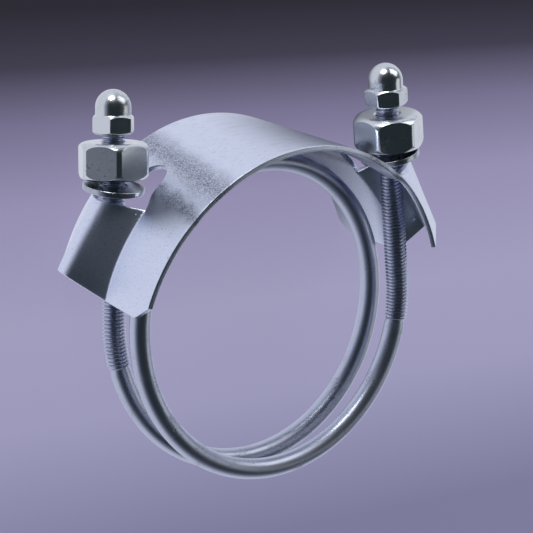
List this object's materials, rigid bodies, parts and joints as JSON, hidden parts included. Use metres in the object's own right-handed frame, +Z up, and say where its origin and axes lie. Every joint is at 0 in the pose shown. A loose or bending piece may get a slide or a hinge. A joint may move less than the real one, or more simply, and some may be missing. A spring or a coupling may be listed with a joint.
{
  "type": "spiral bolt hose clamp",
  "caption": "Hose clamp made of one rod bent into a coil, with a rolled bridge plate whose pressed tents carry the threaded rod ends, their washers, clamp nuts and cap nuts.",
  "frame": {"origin": "middle of the base of the clamp's box, as it lies at rest on its back", "axes": "+Z up from the table, along the hose's axis to about five degrees; +Y from the coil towards the nuts; +X across the ring"},
  "size_m": [0.1418, 0.1414, 0.0596],
  "materials": {
    "plated_rod": "bright zinc plated drawn rod",
    "plated_sheet": "bright blue-white zinc plated sheet, faintly streaked",
    "plated_washer": "bright zinc plated, stamped",
    "plated_nut": "bright zinc plated, mirror-like flats",
    "plated_cap_nut": "bright zinc plated, polished dome"
  },
  "bodies": {
    "saddle": {"saddle": "plated_sheet", "washer_left": "plated_washer", "washer_right": "plated_washer"},
    "bolt": {"spiral_bolt": "plated_rod"},
    "clamp_nut_left": {"clamp_nut_left": "plated_nut"},
    "clamp_nut_right": {"clamp_nut_right": "plated_nut"},
    "cap_nut_left": {"cap_nut_left": "plated_cap_nut"},
    "cap_nut_right": {"cap_nut_right": "plated_cap_nut"}
  },
  "joints": [
    {"name": "clamp_nut_left_turn", "type": "hinge", "parent": "saddle", "child": "clamp_nut_left", "pos_m": [-0.0497, 0.04073, 0.01997], "axis": [0.0855, 0.9963, -0.0053], "range_deg": [-360, 360]},
    {"name": "clamp_nut_right_turn", "type": "hinge", "parent": "saddle", "child": "clamp_nut_right", "pos_m": [0.05011, 0.03922, 0.04092], "axis": [-0.0827, 0.9921, 0.0944], "range_deg": [-360, 360]},
    {"name": "bolt_travel", "type": "slide", "parent": "saddle", "child": "bolt", "axis": [0.0014, 0.999, 0.0448], "range_m": [-0.00125, 0.00125]},
    {"name": "cap_nut_left_off", "type": "slide", "parent": "bolt", "child": "cap_nut_left", "axis": [0.0855, 0.9963, -0.0053], "range_m": [0, 0.012]},
    {"name": "cap_nut_right_off", "type": "slide", "parent": "bolt", "child": "cap_nut_right", "axis": [-0.0827, 0.9921, 0.0944], "range_m": [0, 0.012]}
  ],
  "couplings": [
    {"joint": "clamp_nut_left_turn", "follows": "bolt_travel", "rad_per_m": -5026.5},
    {"joint": "clamp_nut_right_turn", "follows": "bolt_travel", "rad_per_m": -5026.5}
  ]
}
